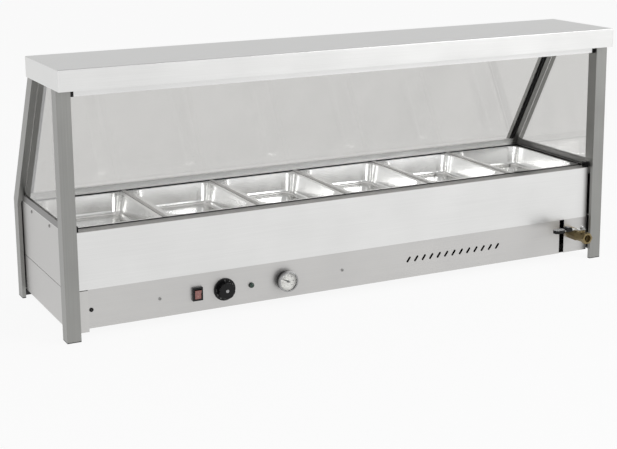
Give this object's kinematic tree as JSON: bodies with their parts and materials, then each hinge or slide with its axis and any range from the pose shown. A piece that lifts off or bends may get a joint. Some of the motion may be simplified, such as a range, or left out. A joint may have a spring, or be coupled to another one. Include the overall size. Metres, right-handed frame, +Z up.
{
  "type": "food warmer cabinet",
  "caption": "Long countertop wet-heat food warmer with a row of lift-out pans, a sloped glass guard with a steel shelf on posts, front controls and a drain valve.",
  "frame": {"origin": "on the floor under the middle of the object's box, drain valve included", "axes": "+X along the counter to the user's right, +Y from the serving front to the back, +Z up"},
  "size_m": [1.8, 0.569, 0.755],
  "materials": {
    "brushed_steel": "brushed, fine lines along the length",
    "post_steel": "brushed along the tube",
    "grey_steel": "brushed, slightly darker sheet",
    "plain_steel": "mill finish",
    "polished_steel": "polished drawn stainless steel",
    "clear_glass": "clear",
    "black_rubber": "matt",
    "black_plastic": "satin moulded",
    "grey_plastic": "moulded",
    "red_rocker": "translucent",
    "green_lens": "translucent",
    "dial_white": "printed",
    "needle_black": "matt",
    "bezel_steel": "rolled",
    "cream_plastic": "moulded",
    "brass": "dull cast",
    "chromed_brass": "plated",
    "lever_steel": "zinc plated",
    "dark_screw": "blackened"
  },
  "bodies": {
    "cabinet": {"bottom_cover": "plain_steel", "cable_gland": "black_plastic", "canopy_front_rail": "brushed_steel", "canopy_pan": "brushed_steel", "canopy_shell": "brushed_steel", "control_panel": "grey_steel", "corner_blocks": "black_plastic", "corner_screw": "dark_screw", "counter_top": "brushed_steel", "drain_pipe": "plain_steel", "element_fittings": "plain_steel", "end_strip": "grey_steel", "foot_caps": "grey_plastic", "frame_rails": "plain_steel", "front_post_left": "post_steel", "front_post_right": "post_steel", "heating_element": "plain_steel", "pan_dividers": "grey_steel", "panel_screws": "lever_steel", "pilot_lamp_body": "black_plastic", "pilot_lamp_lens": "green_lens", "rear_glass": "clear_glass", "rear_glass_channel": "brushed_steel", "rear_glass_seals": "black_rubber", "rear_glass_top_channel": "brushed_steel", "rear_panel": "grey_steel", "rear_post_left": "post_steel", "rear_post_right": "post_steel", "side_glass": "clear_glass", "side_glass_channels": "brushed_steel", "side_panels_lower": "grey_steel", "side_panels_upper": "grey_steel", "switch_housing": "black_plastic", "tap_plate": "grey_steel", "temperature_probes": "plain_steel", "terminal_block": "cream_plastic", "thermometer_bezel": "bezel_steel", "thermometer_case": "black_plastic", "thermometer_dial": "dial_white", "thermometer_lens": "clear_glass", "thermostat_body": "black_plastic", "upper_front_panel": "brushed_steel", "valve_body": "brass", "valve_socket": "brass", "water_tank": "plain_steel"},
    "thermostat_dial": {"thermostat_knob": "black_plastic", "thermostat_shaft": "plain_steel"},
    "rocker": {"switch_rocker": "red_rocker"},
    "needle": {"thermometer_needle": "needle_black"},
    "drain_handle": {"valve_ball": "chromed_brass", "valve_stem": "chromed_brass", "valve_lever": "lever_steel", "valve_grip": "black_plastic", "valve_nut": "lever_steel"},
    "pan_1": {"pan_1": "polished_steel"},
    "pan_2": {"pan_2": "polished_steel"},
    "pan_3": {"pan_3": "polished_steel"},
    "pan_4": {"pan_4": "polished_steel"},
    "pan_5": {"pan_5": "polished_steel"},
    "pan_6": {"pan_6": "polished_steel"}
  },
  "joints": [
    {"name": "thermostat_turn", "type": "hinge", "parent": "cabinet", "child": "thermostat_dial", "pos_m": [-0.425, -0.1915, 0.08], "axis": [0, 1, 0], "range_deg": [0, 270]},
    {"name": "rocker_tilt", "type": "hinge", "parent": "cabinet", "child": "rocker", "pos_m": [-0.51, -0.1915, 0.08], "axis": [-1, 0, 0], "range_deg": [0, 16]},
    {"name": "needle_turn", "type": "hinge", "parent": "cabinet", "child": "needle", "pos_m": [-0.231, -0.2075, 0.08], "axis": [0, 1, 0], "range_deg": [-75, 195]},
    {"name": "drain_turn", "type": "hinge", "parent": "cabinet", "child": "drain_handle", "pos_m": [0.794, -0.2555, 0.093], "axis": [0, 0, 1], "range_deg": [0, 90]},
    {"name": "pan_1_lift", "type": "slide", "parent": "cabinet", "child": "pan_1", "axis": [0, 0, 1], "range_m": [0, 0.042]},
    {"name": "pan_2_lift", "type": "slide", "parent": "cabinet", "child": "pan_2", "axis": [0, 0, 1], "range_m": [0, 0.042]},
    {"name": "pan_3_lift", "type": "slide", "parent": "cabinet", "child": "pan_3", "axis": [0, 0, 1], "range_m": [0, 0.042]},
    {"name": "pan_4_lift", "type": "slide", "parent": "cabinet", "child": "pan_4", "axis": [0, 0, 1], "range_m": [0, 0.042]},
    {"name": "pan_5_lift", "type": "slide", "parent": "cabinet", "child": "pan_5", "axis": [0, 0, 1], "range_m": [0, 0.042]},
    {"name": "pan_6_lift", "type": "slide", "parent": "cabinet", "child": "pan_6", "axis": [0, 0, 1], "range_m": [0, 0.042]}
  ]
}
